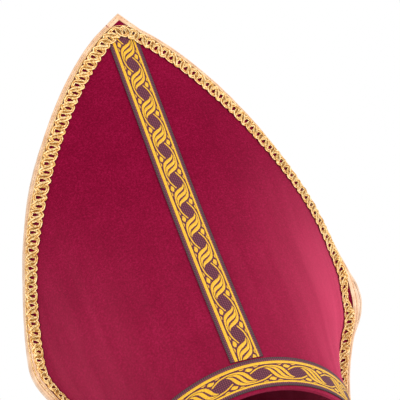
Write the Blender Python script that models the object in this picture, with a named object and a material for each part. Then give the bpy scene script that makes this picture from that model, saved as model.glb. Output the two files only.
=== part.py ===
"""Bishop's mitre, resting on a table as it does by itself.

Two shield-shaped felt panels stand front and back. Each is bound round its edge with
satin tape and trimmed with gold braid, a woven ribbon up the middle and the same
ribbon round the foot. The two are sewn together at the sides, below the corners.
Metres, +Z up, the front towards -Y. The origin is on the table, under the middle.
"""

import math

import bmesh
import bpy
import numpy as np

# The panel's shape, in the hat's own upright frame: X to the side, Z up, the two
# side seams in the plane Y = 0.
PEAK_HEIGHT = 0.383
PEAK_OFFSET = 0.0049
ARCH_TOP = 0.377
CORNER_HEIGHT = 0.105
CORNER_ROUNDING = 0.012
FOOT_HALF_WIDTH = 0.0974
CORNER_HALF_WIDTH = 0.1322
FOOT_DEPTH = 0.1133
CORNER_DEPTH = 0.079
TOP_DEPTH = 0.0124
FLARE = 2.12
ARCH_FULLNESS = 1.85
ARCH_POINT = 0.773
EDGE_CLOSING = 0.6
FRONT_RISE = 0.0419
FELT = 0.0024

# Near the side seams the cloth turns back into the seam's plane, where the two panels
# are sewn flat together. Above the corners this turn dies out.
SEAM_BEND_STARTS = 0.88
SEAM_BEND_ENDS = 0.96
SEAM_BEND_FADE = 0.1
SETBACK = 0.0026

# How the hat stands: it leans back on the cut edge of the back panel.
LEAN = math.radians(8.0)
SEAM_FORWARD = 0.00864

# Trimmings.
GAP = 0.0005
TAPE = 0.0007
TAPE_WIDTH = 0.0050
FOLD_ROUNDING = 0.0006
BRAID_WIDTH = 0.0104
BRAID_HEIGHT = 0.0014
BRAID_TURN = 0.012
RIBBON_WIDTH = 0.025
RIBBON_HEIGHT = 0.0006
BAND_RISE = 0.0247
HEM = 0.0011
FELT_INSET = TAPE + 2 * GAP
BAND_INSET = TAPE_WIDTH + 3 * GAP

# Fineness of the faceted solids.
COLUMNS = 9
BEND_COLUMNS = 3
ROWS_BELOW_CORNER = 10
ROWS_ABOVE_CORNER = 17
EDGE_STEP = 0.0136
BRAID_COLUMNS = 3
RIBBON_ROWS = 18
RIBBON_COLUMNS = 4
BRAID_TURN_STEPS = 6
OUTLINE_STEPS = 400
LAST_STATION = 0.018
NORMAL_STEP = 0.0005
NORMAL_BELOW_PEAK = 0.006

# Fineness of the table of level sections, and the most that a section can turn.
LEVEL_STEP = 0.0005
SECTION_STEPS = 240
MOST_TURN = 2.4
HALVINGS = 30

FRONT, BACK = -1, 1
SIDES = {"front": FRONT, "back": BACK}
RIGHT, LEFT = 1, -1

FINISHES = {
    "felt": {"colour": (0.33, 0.004, 0.035), "roughness": 0.95, "metallic": 0.0},
    "satin": {"colour": (0.80, 0.52, 0.32), "roughness": 0.45, "metallic": 0.0},
    "gold_braid": {"colour": (0.80, 0.58, 0.20), "roughness": 0.38, "metallic": 0.8},
    "woven_ribbon": {"colour": (0.75, 0.52, 0.05), "roughness": 0.55, "metallic": 0.0},
}

DEPTH_CURVE = np.polyfit(
    [0.0, CORNER_HEIGHT, ARCH_TOP], [FOOT_DEPTH, CORNER_DEPTH, TOP_DEPTH], 2
)


def blend(low, high, share):
    return low + (high - low) * share


def smooth(low, high, value):
    """Rise from 0 to 1 without a kink, while value goes from low to high."""
    share = np.clip((value - low) / (high - low), 0.0, 1.0)
    return share * share * (3.0 - 2.0 * share)


def column_shares():
    """Shares of the panel's width at its columns, closer together round the bend."""
    body = np.linspace(0.0, SEAM_BEND_STARTS, COLUMNS + 1)
    bend = np.linspace(SEAM_BEND_STARTS, SEAM_BEND_ENDS, BEND_COLUMNS + 1)
    half = np.concatenate([body, bend[1:], [1.0]])
    return np.concatenate([-half[:0:-1], half])


# ---------------------------------------------------------------- the panel's surface
def flare(height):
    """Half width of the panel as it flares out from the foot towards the corner."""
    return blend(FOOT_HALF_WIDTH, CORNER_HALF_WIDTH, (height / CORNER_HEIGHT) ** FLARE)


def widest(height):
    """Half width of the panel without its pointed arch: a flare with a rounded corner."""
    start = CORNER_HEIGHT - CORNER_ROUNDING
    short = CORNER_HALF_WIDTH - flare(start)
    slope = FLARE * (flare(start) - FOOT_HALF_WIDTH) / start
    left = np.clip(1.0 - (height - start) * slope / (2.0 * short), 0.0, 1.0)
    return np.where(height < start, flare(height), CORNER_HALF_WIDTH - short * left**2)


def half_width(height):
    """Half width of the panel's outline, with the pointed arch above the corners."""
    climbed = np.clip((height - CORNER_HEIGHT) / (ARCH_TOP - CORNER_HEIGHT), 0.0, 1.0)
    return widest(height) * (1.0 - climbed**ARCH_FULLNESS) ** ARCH_POINT


def walk(directions):
    """Places passed on a walk of length 1, in even steps along the given directions."""
    middle = (directions[:, 1:] + directions[:, :-1]) / 2.0
    start = np.zeros((len(directions), 1))
    x = np.hstack([start, np.cumsum(np.cos(middle), axis=1)]) / SECTION_STEPS
    y = np.hstack([start, np.cumsum(np.sin(middle), axis=1)]) / SECTION_STEPS
    return x, y


def level_sections():
    """Level sections of the front panel from its middle out: length, x, y and reach.

    Each is a sheet that turns evenly, so deep that its outer end lies in the seam's
    plane. Reach is the distance along the cloth from the middle to the panel's edge.
    """
    hollow = blend(widest(LEVELS), half_width(LEVELS), EDGE_CLOSING)
    wanted = np.polyval(DEPTH_CURVE, LEVELS) / hollow
    shares = np.linspace(0.0, 1.0, SECTION_STEPS + 1)
    flat = 1.0 - smooth(CORNER_HEIGHT, CORNER_HEIGHT + SEAM_BEND_FADE, LEVELS)
    bend = smooth(SEAM_BEND_STARTS, SEAM_BEND_ENDS, shares)
    turning = shares * (1.0 - flat[:, None] * bend)
    low, high = np.zeros(len(LEVELS)), np.full(len(LEVELS), MOST_TURN)
    for _ in range(HALVINGS):
        tried = (low + high) / 2.0
        x, y = walk(tried[:, None] * turning)
        shallow = y[:, -1] < wanted * x[:, -1]
        low, high = np.where(shallow, tried, low), np.where(shallow, high, tried)
    lengths = hollow / x[:, -1]
    x, y = x * lengths[:, None], (y - y[:, -1:]) * lengths[:, None] - SETBACK
    edges = [
        length * (np.interp(wide, row, shares) if level > CORNER_HEIGHT else 1.0)
        for length, row, wide, level in zip(lengths, x, half_width(LEVELS), LEVELS)
    ]
    return lengths, x, y, np.array(edges)


LEVELS = np.arange(0.0, PEAK_HEIGHT + LEVEL_STEP, LEVEL_STEP)
LENGTHS, SECTION_X, SECTION_Y, REACHES = level_sections()
SECTION_PLACES = np.arange(SECTION_STEPS + 1)


def reach(height):
    """Distance along the cloth from the middle of the panel to its edge."""
    return np.interp(height, LEVELS, REACHES)


def cloth(across, height):
    """Point of the front panel's middle surface, across measured along the cloth."""
    level = min(max(int(height / LEVEL_STEP), 0), len(LEVELS) - 2)
    ends = []
    for row in (level, level + 1):
        place = abs(across) / LENGTHS[row] * SECTION_STEPS
        ends.append(np.interp(place, SECTION_PLACES, SECTION_X[row]))
        ends.append(np.interp(place, SECTION_PLACES, SECTION_Y[row]))
    share = height / LEVEL_STEP - level
    x, y = blend(ends[0], ends[2], share), blend(ends[1], ends[3], share)
    return np.array([math.copysign(x, across), y, height])


def raised(across, height, lift):
    """Point of the cloth, lifted along its outward normal."""
    level = min(height, PEAK_HEIGHT - NORMAL_BELOW_PEAK)
    sideways = cloth(across + NORMAL_STEP, level) - cloth(across - NORMAL_STEP, level)
    upwards = cloth(across, level + NORMAL_STEP) - cloth(across, level - NORMAL_STEP)
    normal = np.cross(sideways, upwards)
    return cloth(across, height) + lift * normal / np.linalg.norm(normal)


def stand(point, side):
    """Place a point of the front panel on its side of the hat, and lean the hat back."""
    x, y, z = point[0], -point[1] * side, point[2]
    y, z = y * math.cos(LEAN) + z * math.sin(LEAN), z * math.cos(LEAN) - y * math.sin(LEAN)
    return np.array([x, y - SEAM_FORWARD, z])


def foot(share, side):
    """Height of the panel's cut lower edge, share 0 in the middle and 1 at the seam."""
    if side == FRONT:
        return FRONT_RISE * math.cos(share * math.pi / 2) ** 2
    height = 0.0
    for _ in range(8):
        height = math.tan(LEAN) * -cloth(share * reach(height), height)[1]
    return height


# ------------------------------------------------------- lines that follow the outline
def edge(hand):
    """One edge of the panel laid flat, foot to peak: across, height, and inward normal.

    The arch ends in two straight edges, which meet at the peak a little to the right.
    """
    heights = ARCH_TOP * np.sin(np.linspace(0.0, math.pi / 2, OUTLINE_STEPS))
    across = reach(heights)
    along = np.concatenate([[0.0], np.cumsum(np.hypot(np.diff(across), np.diff(heights)))])
    marks = np.linspace(0.0, along[-1], round(along[-1] / EDGE_STEP) + 1)
    points = np.stack([np.interp(marks, along, across), np.interp(marks, along, heights)], axis=1)
    points = points[points[:, 0] > LAST_STATION]
    points = np.append(points, [[hand * PEAK_OFFSET, PEAK_HEIGHT]], axis=0)
    run = np.gradient(points, axis=0)
    inward = np.stack([-run[:, 1], run[:, 0]], axis=1)
    inward /= np.linalg.norm(inward, axis=1)[:, None]
    return points * (hand, 1), inward * (hand, 1)


def peak_mitre():
    """The peak, and the step from it towards the point that is 1 inside both edges."""
    (right, right_inward), (_, left_inward) = edge(RIGHT), edge(LEFT)
    both = right_inward[-1] + left_inward[-1]
    return right[-1], both / (1.0 + right_inward[-1] @ left_inward[-1])


def edge_path():
    """The whole edge, up one side, mitred at the peak and down the other."""
    right, left = (list(zip(points[:-1], inward[:-1])) for points, inward in map(edge, (RIGHT, LEFT)))
    return right + [peak_mitre()] + left[::-1]


def braid_path():
    """The braid's middle line: beside the edge, and round a small arc at the peak."""
    inset = TAPE_WIDTH + GAP + BRAID_WIDTH / 2
    peak, mitre = peak_mitre()
    centre = peak + (inset + BRAID_TURN) * mitre
    stretches, angles = [], []
    for hand in (RIGHT, LEFT):
        points, inward = edge(hand)
        turn_start = centre - BRAID_TURN * inward[-1]
        stretches.append(
            [
                (p + inset * n, n)
                for p, n in zip(points[:-1], inward[:-1])
                if hand * (p + inset * n - turn_start)[0] > GAP
            ]
        )
        angles.append(math.atan2(-inward[-1][1], -inward[-1][0]))
    turn = []
    for angle in np.linspace(angles[0], angles[1], BRAID_TURN_STEPS + 1):
        outward = np.array([math.cos(angle), math.sin(angle)])
        turn.append((centre + BRAID_TURN * outward, -outward))
    return stretches[0] + turn + stretches[1][::-1]


# ------------------------------------------------------------------ closed solids
def finish(name, mesh_builder, finish_name):
    """Close the shape, turn its faces outwards and give it its material."""
    bmesh.ops.remove_doubles(mesh_builder, verts=mesh_builder.verts, dist=1e-7)
    bmesh.ops.dissolve_degenerate(mesh_builder, edges=mesh_builder.edges, dist=1e-7)
    bmesh.ops.recalc_face_normals(mesh_builder, faces=mesh_builder.faces)
    mesh = bpy.data.meshes.new(name)
    mesh_builder.to_mesh(mesh)
    mesh_builder.free()
    mesh.shade_smooth()
    mesh.set_sharp_from_angle(angle=math.radians(35))
    mesh.materials.append(material(finish_name))
    piece = bpy.data.objects.new(name, mesh)
    bpy.context.collection.objects.link(piece)
    return piece


def slab(name, outer, inner, finish_name):
    """Solid between two grids of points that have the same rows and columns."""
    build = bmesh.new()
    faces = [[[build.verts.new(p) for p in row] for row in grid] for grid in (outer, inner)]
    rows, columns = len(outer), len(outer[0])
    for grid in faces:
        for r in range(rows - 1):
            for c in range(columns - 1):
                build.faces.new((grid[r][c], grid[r][c + 1], grid[r + 1][c + 1], grid[r + 1][c]))
    rim = [(0, c) for c in range(columns - 1)]
    rim += [(r, columns - 1) for r in range(rows - 1)]
    rim += [(rows - 1, c) for c in range(columns - 1, 0, -1)]
    rim += [(r, 0) for r in range(rows - 1, 0, -1)]
    for (r, c), (next_r, next_c) in zip(rim, rim[1:] + rim[:1]):
        build.faces.new(
            (faces[0][r][c], faces[0][next_r][next_c], faces[1][next_r][next_c], faces[1][r][c])
        )
    return finish(name, build, finish_name)


def sweep(name, rings, finish_name):
    """Solid through a row of rings, each a closed outline, capped at both ends."""
    build = bmesh.new()
    loops = [[build.verts.new(p) for p in ring] for ring in rings]
    count = len(rings[0])
    for low, high in zip(loops, loops[1:]):
        for i in range(count):
            build.faces.new((low[i], low[(i + 1) % count], high[(i + 1) % count], high[i]))
    build.faces.new(loops[0])
    build.faces.new(reversed(loops[-1]))
    return finish(name, build, finish_name)


def settle(corner, above, height):
    """Slide a corner along the wall until it lies at the given height."""
    share = (height - corner[2]) / (above[2] - corner[2])
    return corner + share * (above - corner)


# ------------------------------------------------------------------ the pieces
def make_panel(name, side):
    """Felt shield: rows follow the cut foot, then the height, up to the peak."""
    peak, mitre = peak_mitre()
    inner_peak = peak + FELT_INSET * mitre
    edges = []
    for hand in (LEFT, RIGHT):
        points, inward = edge(hand)
        edges.append(np.append(points[:-1] + FELT_INSET * inward[:-1], [inner_peak], axis=0))
    shares = column_shares()
    climb = np.linspace(0.0, 1.0, ROWS_ABOVE_CORNER + 1)
    feet = [foot(abs(s), side) for s in shares]
    rows = [
        [blend(low, CORNER_HEIGHT, r / ROWS_BELOW_CORNER) for low in feet]
        for r in range(ROWS_BELOW_CORNER)
    ]
    rows += [[blend(CORNER_HEIGHT, inner_peak[1], share)] * len(shares) for share in climb]
    grids = []
    for lift in (FELT / 2, -FELT / 2):
        grid = []
        for heights in rows:
            left, right = (np.interp(heights, line[:, 1], line[:, 0]) for line in edges)
            across = blend(left, right, (shares + 1.0) / 2.0)
            grid.append([stand(raised(a, h, lift), side) for a, h in zip(across, heights)])
        grids.append(grid)
    middle = [stand(cloth(s * reach(low), low), side)[2] for s, low in zip(shares, feet)]
    for grid in grids:
        grid[0] = [
            settle(corner, above, max(level, 0.0) if side == FRONT else 0.0)
            for corner, above, level in zip(grid[0], grid[1], middle)
        ]
    return slab(name, grids[0], grids[1], "felt")


def make_binding(name, side):
    """Satin tape folded over the panel's edge, from the foot over the peak and down."""
    lining = FELT / 2 + GAP
    outside = lining + TAPE
    profile = [
        (TAPE_WIDTH, outside),
        (FOLD_ROUNDING, outside),
        (0.0, outside - FOLD_ROUNDING),
        (0.0, FOLD_ROUNDING - outside),
        (FOLD_ROUNDING, -outside),
        (TAPE_WIDTH, -outside),
        (TAPE_WIDTH, -lining),
        (TAPE, -lining),
        (TAPE, lining),
        (TAPE_WIDTH, lining),
    ]
    rings = []
    for point, inward in edge_path():
        places = [(point + inset * inward, lift) for inset, lift in profile]
        rings.append([stand(raised(p[0], p[1], lift), side) for p, lift in places])
    for end, second in ((0, 1), (-1, -2)):
        rings[end] = [settle(low, up, GAP) for low, up in zip(rings[end], rings[second])]
    return sweep(name, rings, "satin")


def above_band(place, side):
    """How far a place on the panel lies above the band's upper edge."""
    share = min(abs(place[0]) / reach(place[1]), 1.0)
    return place[1] - foot(share, side) - BAND_RISE - GAP


def make_braid(name, side):
    """Flat strip that the gold braid fills, from the band over the peak and down."""
    low = FELT / 2 + GAP
    insets = np.linspace(-BRAID_WIDTH / 2, BRAID_WIDTH / 2, BRAID_COLUMNS + 1)
    profile = [(inset, low) for inset in insets]
    profile += [(inset, low + BRAID_HEIGHT) for inset in insets[::-1]]
    stations = [[point + inset * inward for inset, _ in profile] for point, inward in braid_path()]
    clear = [i for i, places in enumerate(stations) if min(above_band(p, side) for p in places) > 0.0]
    first, last = clear[0], clear[-1]
    kept = stations[first - 1 : last + 2]
    for end, second in ((0, 1), (-1, -2)):
        for i, (place, above) in enumerate(zip(kept[end], kept[second])):
            short, over = above_band(place, side), above_band(above, side)
            kept[end][i] = blend(place, above, -short / (over - short))
    rings = [
        [stand(raised(p[0], p[1], lift), side) for p, (_, lift) in zip(places, profile)]
        for places in kept
    ]
    return sweep(name, rings, "gold_braid")


def make_ribbon(name, side):
    """Woven ribbon up the middle, from the band to the inside of the braid's turn."""
    inner = sorted(tuple(p + BRAID_WIDTH / 2 * n) for p, n in braid_path() if n[1] < 0.0)
    edges = np.linspace(-RIBBON_WIDTH / 2, RIBBON_WIDTH / 2, RIBBON_COLUMNS + 1)
    tops = np.interp(edges, *zip(*inner)) - GAP
    bottoms = [foot(abs(a) / reach(BAND_RISE), side) + BAND_RISE + GAP for a in edges]
    grids = []
    for lift in (FELT / 2 + GAP + RIBBON_HEIGHT, FELT / 2 + GAP):
        grid = []
        for share in np.linspace(0.0, 1.0, RIBBON_ROWS + 1):
            heights = [blend(low, high, share) for low, high in zip(bottoms, tops)]
            grid.append([stand(raised(a, h, lift), side) for a, h in zip(edges, heights)])
        grids.append(grid)
    return slab(name, grids[0], grids[1], "woven_ribbon")


def make_band(name, side):
    """The same ribbon round the foot of the panel, between the two bound edges."""
    last = (reach(0.0) - BAND_INSET) / (reach(0.0) - FELT_INSET)
    shares = np.clip(column_shares(), -last, last)
    feet = [foot(abs(s), side) for s in shares]
    grids = []
    for lift in (FELT / 2 + GAP + RIBBON_HEIGHT, FELT / 2 + GAP):
        grid = []
        for rise in (HEM, blend(HEM, BAND_RISE, 0.5), BAND_RISE):
            heights = [low + rise for low in feet]
            across = [s * (reach(h) - FELT_INSET) for s, h in zip(shares, heights)]
            grid.append([stand(raised(a, h, lift), side) for a, h in zip(across, heights)])
        grids.append(grid)
    return slab(name, grids[0], grids[1], "woven_ribbon")


def material(finish_name):
    if finish_name in bpy.data.materials:
        return bpy.data.materials[finish_name]
    look = FINISHES[finish_name]
    made = bpy.data.materials.new(finish_name)
    made.use_nodes = True
    shader = made.node_tree.nodes["Principled BSDF"]
    shader.inputs["Base Color"].default_value = (*look["colour"], 1.0)
    shader.inputs["Roughness"].default_value = look["roughness"]
    shader.inputs["Metallic"].default_value = look["metallic"]
    return made


def main():
    for existing in list(bpy.data.objects):
        bpy.data.objects.remove(existing)
    for word, side in SIDES.items():
        make_panel(f"{word}_panel", side)
        make_binding(f"{word}_binding", side)
        make_braid(f"{word}_braid", side)
        make_ribbon(f"{word}_ribbon", side)
        make_band(f"{word}_band", side)


main()
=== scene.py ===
"""Looks of the bishop's mitre: crimson felt shields, satin binding, gold gimp braid and
woven ribbon, laid on the frame's own surface.

Every trimming is first made flat, in the shield's own cloth coordinates (across from the
middle line, height above the foot, lift off the cloth), and then bent onto the shield.
"""

import math

import bmesh
import bpy
import numpy as np
from mathutils import Matrix, Vector


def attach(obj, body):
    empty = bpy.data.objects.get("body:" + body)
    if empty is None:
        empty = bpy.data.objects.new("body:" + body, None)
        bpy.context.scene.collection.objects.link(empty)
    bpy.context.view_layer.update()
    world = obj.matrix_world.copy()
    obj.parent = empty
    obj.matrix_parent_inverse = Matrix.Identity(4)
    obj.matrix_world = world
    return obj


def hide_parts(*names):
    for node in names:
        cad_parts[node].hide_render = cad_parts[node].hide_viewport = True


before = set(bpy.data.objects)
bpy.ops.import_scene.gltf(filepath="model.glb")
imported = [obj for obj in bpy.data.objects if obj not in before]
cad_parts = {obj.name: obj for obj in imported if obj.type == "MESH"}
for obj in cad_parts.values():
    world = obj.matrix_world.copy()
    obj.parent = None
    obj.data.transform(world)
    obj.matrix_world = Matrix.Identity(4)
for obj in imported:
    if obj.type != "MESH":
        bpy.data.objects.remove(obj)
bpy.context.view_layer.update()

MM = 0.001
FRONT, BACK = -1, 1
SIDES = {"front": FRONT, "back": BACK}
RIGHT, LEFT = 1, -1

# ------------------------------------------------- the shield's shape, as the frame has it
PEAK_HEIGHT = 0.383
PEAK_OFFSET = 0.0049
ARCH_TOP = 0.377
CORNER_HEIGHT = 0.105
CORNER_ROUNDING = 0.012
FOOT_HALF_WIDTH = 0.0974
CORNER_HALF_WIDTH = 0.1322
FOOT_DEPTH = 0.1133
CORNER_DEPTH = 0.079
TOP_DEPTH = 0.0124
FLARE = 2.12
ARCH_FULLNESS = 1.85
ARCH_POINT = 0.773
EDGE_CLOSING = 0.6
FRONT_RISE = 0.0419
FELT = 0.0024
SEAM_BEND_STARTS = 0.88
SEAM_BEND_ENDS = 0.96
SEAM_BEND_FADE = 0.1
SETBACK = 0.0026
LEAN = math.radians(8.0)
SEAM_FORWARD = 0.00864
DEPTH_CURVE = np.polyfit(
    [0.0, CORNER_HEIGHT, ARCH_TOP], [FOOT_DEPTH, CORNER_DEPTH, TOP_DEPTH], 2
)

# Worn edges that stand further to the right than the rule has them. The columns are the
# edge, the sides of the hat, how far, the height of the middle, how far up and down it
# fades, and how far out from the middle line it starts and is full.
EDGE_SHIFTS = (
    (RIGHT, (FRONT, BACK), 0.0027, 0.132, 0.017, 0.090, 0.130),
    (LEFT, (FRONT, BACK), 0.0033, 0.187, 0.050, 0.106, 0.130),
    (RIGHT, (BACK,), 0.0052, 0.118, 0.030, 0.100, 0.130),
    (LEFT, (BACK,), 0.0018, 0.222, 0.034, 0.080, 0.110),
)

# Dents of the worn felt: broad waves, and upright creases beside the corners, which lie at
# one distance in from the edge. Spacings are for one radian of a wave.
WAVE_DEPTH = 0.5 * MM
WAVE_ACROSS, WAVE_UP = 0.031, 0.047
WAVE_STARTS_ACROSS, WAVE_STARTS_UP = 1.3, 0.4
CREASE_DEPTH = 0.45 * MM
CREASE_SPACING = 0.0052
CREASE_HEIGHT, CREASE_HALF_HEIGHT = 0.095, 0.055
CREASE_INWARD, CREASE_HALF_WIDTH = 0.036, 0.016
STILL_MARGIN = 0.02

# Trimmings. The braid laps over the binding, most low down and on the right.
GAP = 0.0005
TAPE = 0.0007
TAPE_WIDTH = 0.0050
RIBBON_WIDTH = 0.025
RIBBON_THICKNESS = 0.0005
BAND_RISE = 0.0247
HEM = 0.0011
BRAID_WIDTH = 0.0104
BRAID_TURN = 0.012
BRAID_LAP = {RIGHT: 0.0028, LEFT: 0.0012}
LAP_FULL_BELOW, LAP_NONE_ABOVE = 0.230, 0.315
# The front's braid cuts the right corner short and swings out above the left one: how far
# inwards it is sewn, the height of the middle, and how far up and down that fades.
CORNER_CUTS = {RIGHT: (0.0060, 0.120, 0.014), LEFT: (-0.0026, 0.145, 0.055)}
FELT_INSET = TAPE + 2 * GAP
# The arch's curve ends this far out, and straight edges go on to the peak.
CURVE_ENDS = 0.018

# Fineness of the table of level sections, and of the lines and meshes laid on the cloth.
# Faces that meet at more than SHARP_ANGLE keep a sharp edge.
LEVEL_STEP = 0.0005
SECTION_STEPS = 400
MOST_TURN = 2.4
HALVINGS = 30
FOOT_ROUNDS = 8
NORMAL_STEP = 0.0005
NORMAL_BELOW_PEAK = 0.006
EDGE_SAMPLES = 1200
EDGE_STEP = 0.002
CELL = 0.0022
STITCH_LINE_STEP = 0.003
UPRIGHT_SAMPLES = 400
TURN_STEPS = 15
SHARP_ANGLE = math.radians(50)


def blend(low, high, share):
    """The value a share of the way from low to high."""
    return low + (high - low) * share


def smooth(low, high, value):
    """Soft step from 0 to 1 between two values."""
    share = np.clip((value - low) / (high - low), 0.0, 1.0)
    return share * share * (3.0 - 2.0 * share)


def near(value, middle, half):
    """Soft swelling: 1 at the middle, and next to nothing two halves away from it."""
    return np.exp(-(((value - middle) / half) ** 2))


# ------------------------------------------------------------------ the cloth's surface
def flare(height):
    """Half width of the shield as it flares out from the foot towards the corner."""
    return blend(FOOT_HALF_WIDTH, CORNER_HALF_WIDTH, (height / CORNER_HEIGHT) ** FLARE)


def widest(height):
    """Half width of the shield without its pointed arch: a flare with a rounded corner."""
    start = CORNER_HEIGHT - CORNER_ROUNDING
    short = CORNER_HALF_WIDTH - flare(start)
    slope = FLARE * (flare(start) - FOOT_HALF_WIDTH) / start
    left = np.clip(1.0 - (height - start) * slope / (2.0 * short), 0.0, 1.0)
    return np.where(height < start, flare(height), CORNER_HALF_WIDTH - short * left**2)


def half_width(height):
    """Half width of the shield's outline, with the pointed arch above the corners."""
    climbed = np.clip((height - CORNER_HEIGHT) / (ARCH_TOP - CORNER_HEIGHT), 0.0, 1.0)
    return widest(height) * (1.0 - climbed**ARCH_FULLNESS) ** ARCH_POINT


def walk(directions):
    """Places passed on a walk of length 1, in even steps along the given directions."""
    middle = (directions[:, 1:] + directions[:, :-1]) / 2.0
    start = np.zeros((len(directions), 1))
    x = np.hstack([start, np.cumsum(np.cos(middle), axis=1)]) / SECTION_STEPS
    y = np.hstack([start, np.cumsum(np.sin(middle), axis=1)]) / SECTION_STEPS
    return x, y


def level_sections():
    """Level sections of the front shield from its middle out: length, x, y and reach.

    Each is a sheet that turns evenly, and near the side seam turns back into the seam's
    plane, where the shields are sewn flat together; above the corners that turn dies out.
    """
    hollow = blend(widest(LEVELS), half_width(LEVELS), EDGE_CLOSING)
    wanted = np.polyval(DEPTH_CURVE, LEVELS) / hollow
    shares = np.linspace(0.0, 1.0, SECTION_STEPS + 1)
    flat = 1.0 - smooth(CORNER_HEIGHT, CORNER_HEIGHT + SEAM_BEND_FADE, LEVELS)
    bend = smooth(SEAM_BEND_STARTS, SEAM_BEND_ENDS, shares)
    turning = shares * (1.0 - flat[:, None] * bend)
    low, high = np.zeros(len(LEVELS)), np.full(len(LEVELS), MOST_TURN)
    for _ in range(HALVINGS):
        tried = (low + high) / 2.0
        x, y = walk(tried[:, None] * turning)
        shallow = y[:, -1] < wanted * x[:, -1]
        low, high = np.where(shallow, tried, low), np.where(shallow, high, tried)
    lengths = hollow / x[:, -1]
    x, y = x * lengths[:, None], (y - y[:, -1:]) * lengths[:, None] - SETBACK
    edges = [
        length * (np.interp(wide, row, shares) if level > CORNER_HEIGHT else 1.0)
        for length, row, wide, level in zip(lengths, x, half_width(LEVELS), LEVELS)
    ]
    return lengths, x, y, np.array(edges)


LEVELS = np.arange(0.0, PEAK_HEIGHT + LEVEL_STEP, LEVEL_STEP)
LENGTHS, SECTION_X, SECTION_Y, REACHES = level_sections()


def reach(height):
    """Distance along the cloth from the middle line to the shield's edge."""
    return np.interp(height, LEVELS, REACHES)


def cloth(across, height):
    """Points of the front shield's middle surface, across measured along the cloth."""
    across, height = np.broadcast_arrays(np.asarray(across, float), np.asarray(height, float))
    level = np.clip((height / LEVEL_STEP).astype(int), 0, len(LEVELS) - 2)
    share = height / LEVEL_STEP - level
    x = np.zeros(across.shape)
    y = np.zeros(across.shape)
    for row, weight in ((level, 1.0 - share), (level + 1, share)):
        place = np.abs(across) / LENGTHS[row] * SECTION_STEPS
        step = np.minimum(place.astype(int), SECTION_STEPS - 1)
        x += weight * blend(SECTION_X[row, step], SECTION_X[row, step + 1], place - step)
        y += weight * blend(SECTION_Y[row, step], SECTION_Y[row, step + 1], place - step)
    return np.stack([np.sign(across) * x, y, height], axis=-1)


def ripple(across, height):
    """Small dents of worn felt: broad waves, and soft upright creases beside the corners."""
    sideways = np.sin(across / WAVE_ACROSS + WAVE_STARTS_ACROSS)
    broad = WAVE_DEPTH * sideways * np.sin(height / WAVE_UP + WAVE_STARTS_UP)
    inward = reach(height) - np.abs(across)
    fold = CREASE_DEPTH * np.cos(inward / CREASE_SPACING)
    creases = fold * near(inward, CREASE_INWARD, CREASE_HALF_WIDTH)
    still = smooth(0.0, STILL_MARGIN, inward)
    return still * (broad + near(height, CREASE_HEIGHT, CREASE_HALF_HEIGHT) * creases)


def raised(across, height, lift):
    """Points of the cloth, lifted along its outward normal."""
    level = np.minimum(height, PEAK_HEIGHT - NORMAL_BELOW_PEAK)
    sideways = cloth(across + NORMAL_STEP, level) - cloth(across - NORMAL_STEP, level)
    upwards = cloth(across, level + NORMAL_STEP) - cloth(across, level - NORMAL_STEP)
    normal = np.cross(sideways, upwards)
    normal /= np.linalg.norm(normal, axis=-1, keepdims=True)
    lift = np.asarray(lift) + ripple(across, height)
    return cloth(across, height) + lift[..., None] * normal


def stand(points, side):
    """Place points of the front shield on their side of the hat, and lean the hat back.

    What would reach below the table is flattened on it.
    """
    x, y, z = points[..., 0], -points[..., 1] * side, points[..., 2]
    for hand, sides, shift, height, half, starts, full in EDGE_SHIFTS:
        if side in sides:
            x = x + shift * near(z, height, half) * smooth(starts, full, hand * x)
    y, z = y * math.cos(LEAN) + z * math.sin(LEAN), z * math.cos(LEAN) - y * math.sin(LEAN)
    return np.stack([x, y - SEAM_FORWARD, np.maximum(z, 0.0)], axis=-1)


def foot(share, side):
    """Height of the shield's cut lower edge, share 0 in the middle and 1 at the seam."""
    share = np.asarray(share, float)
    if side == FRONT:
        return FRONT_RISE * np.cos(share * math.pi / 2) ** 2
    height = np.zeros_like(share)
    for _ in range(FOOT_ROUNDS):
        height = math.tan(LEAN) * -cloth(share * reach(height), height)[..., 1]
    return height


# ------------------------------------------------------ lines that follow the outline
def edge(hand, step):
    """One edge of the shield laid flat, foot to peak: across, height, and inward normal.

    The arch ends in two straight edges, which meet at the peak a little to the right.
    """
    heights = ARCH_TOP * np.sin(np.linspace(0.0, math.pi / 2, EDGE_SAMPLES))
    across = reach(heights)
    along = np.concatenate([[0.0], np.cumsum(np.hypot(np.diff(across), np.diff(heights)))])
    marks = np.linspace(0.0, along[-1], round(along[-1] / step) + 1)
    points = np.stack([np.interp(marks, along, values) for values in (across, heights)], axis=1)
    points = points[points[:, 0] > CURVE_ENDS]
    peak = np.array([hand * PEAK_OFFSET, PEAK_HEIGHT])
    count = math.ceil(np.linalg.norm(peak - points[-1]) / step)
    straight = blend(points[-1], peak, np.linspace(0.0, 1.0, count + 1)[1:, None])
    points = np.concatenate([points, straight])
    run = np.gradient(points, axis=0)
    inward = np.stack([-run[:, 1], run[:, 0]], axis=1)
    inward /= np.linalg.norm(inward, axis=1)[:, None]
    return points * (hand, 1), inward * (hand, 1)


def peak_mitre():
    """The peak, and the step from it towards the point that is 1 inside both edges."""
    (right, right_inward), (_, left_inward) = edge(RIGHT, EDGE_STEP), edge(LEFT, EDGE_STEP)
    both = right_inward[-1] + left_inward[-1]
    return right[-1], both / (1.0 + right_inward[-1] @ left_inward[-1])


def edge_path(step):
    """The whole edge, up one side, mitred at the peak and down the other."""
    peak, mitre = peak_mitre()
    right, left = edge(RIGHT, step), edge(LEFT, step)
    return [
        np.concatenate([one[:-1], [middle], other[:-1][::-1]])
        for one, middle, other in zip(right, (peak, mitre), left)
    ]


def braid_lap(height, hand):
    """How far the braid laps over the binding: it dies out towards the peak."""
    return BRAID_LAP[hand] * (1.0 - smooth(LAP_FULL_BELOW, LAP_NONE_ABOVE, height))


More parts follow.
